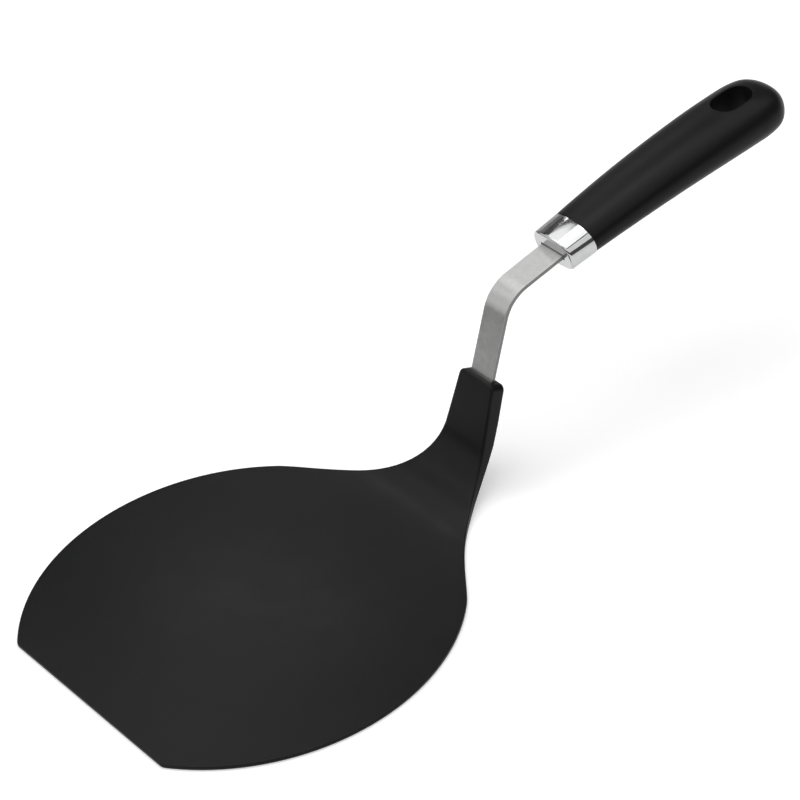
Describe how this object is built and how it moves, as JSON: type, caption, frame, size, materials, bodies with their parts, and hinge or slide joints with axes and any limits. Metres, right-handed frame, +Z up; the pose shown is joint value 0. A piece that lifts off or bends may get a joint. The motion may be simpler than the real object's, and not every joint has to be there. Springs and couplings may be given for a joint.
{
  "type": "cake lifter",
  "caption": "Round black blade with a straight front edge and an upswept neck, on a bent flat steel shank with a chrome ferrule and an oval grip with a hanging hole.",
  "frame": {"origin": "centre of the round plate, on its flat underside", "axes": "+Z up from the flat underside, -Y towards the straight front edge, +Y towards the grip, X across the blade"},
  "size_m": [0.184, 0.3778, 0.1085],
  "materials": {
    "blade": "black nylon with a fine satin texture",
    "shank": "satin stainless steel",
    "ferrule": "mirror polished",
    "grip": "black with a soft satin sheen"
  },
  "bodies": {
    "root": {"blade": "blade", "shank": "shank", "ferrule": "ferrule", "grip": "grip"}
  },
  "joints": []
}
